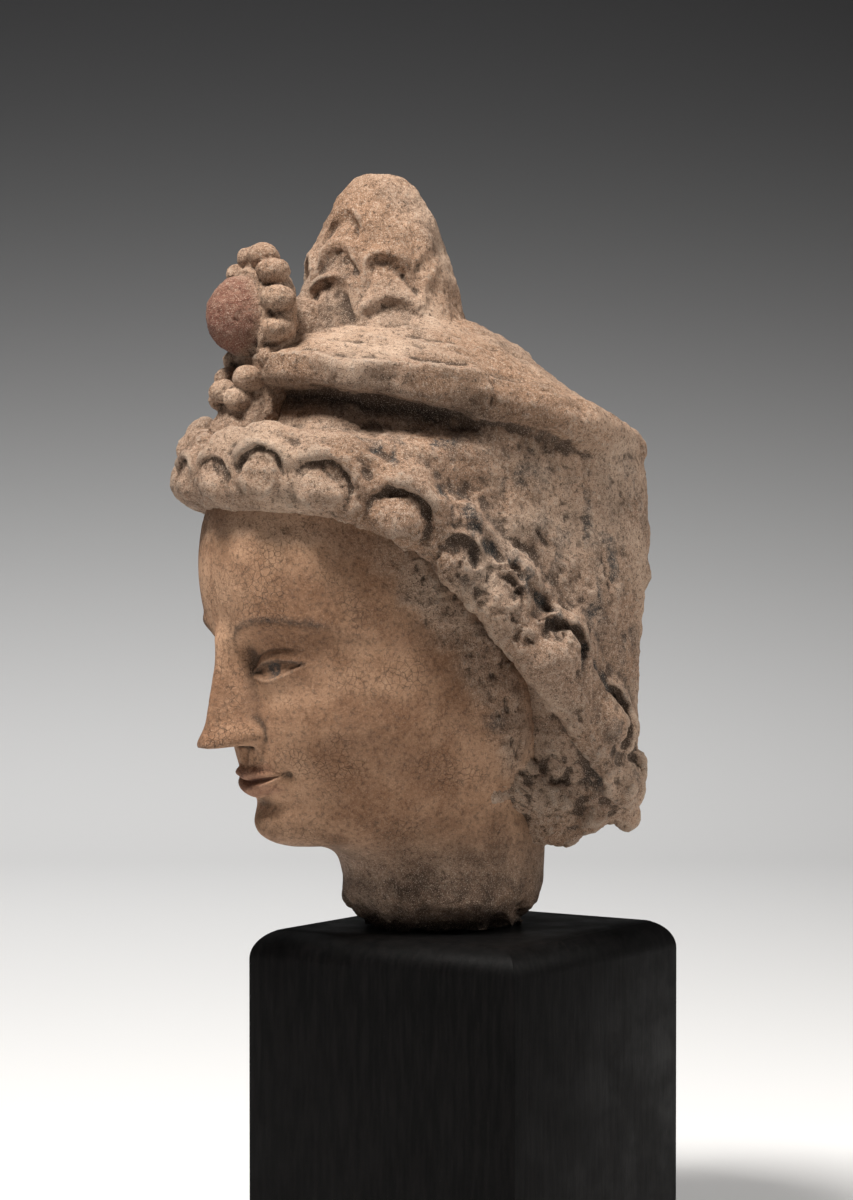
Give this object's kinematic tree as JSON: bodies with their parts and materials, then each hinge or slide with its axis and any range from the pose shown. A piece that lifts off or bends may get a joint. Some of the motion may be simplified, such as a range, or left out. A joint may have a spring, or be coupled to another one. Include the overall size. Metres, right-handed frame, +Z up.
{
  "type": "sculpted head",
  "caption": "Painted clay head with closed lips, rolled curls, a tilted fillet, a beaded rosette and a topknot, on a square black block",
  "frame": {"origin": "centre of the block's underside", "axes": "+Z up, -Y out of the block's front face; the head is turned 26.5 degrees from the block's front towards its own right"},
  "size_m": [0.1534, 0.1762, 0.4058],
  "materials": {
    "painted_clay": "unglazed warm clay, worn paint, fine cracks",
    "black_paint": "wood painted matte black"
  },
  "bodies": {
    "root": {"bodhisattva_head": "painted_clay", "stand_block": "black_paint"}
  },
  "joints": []
}
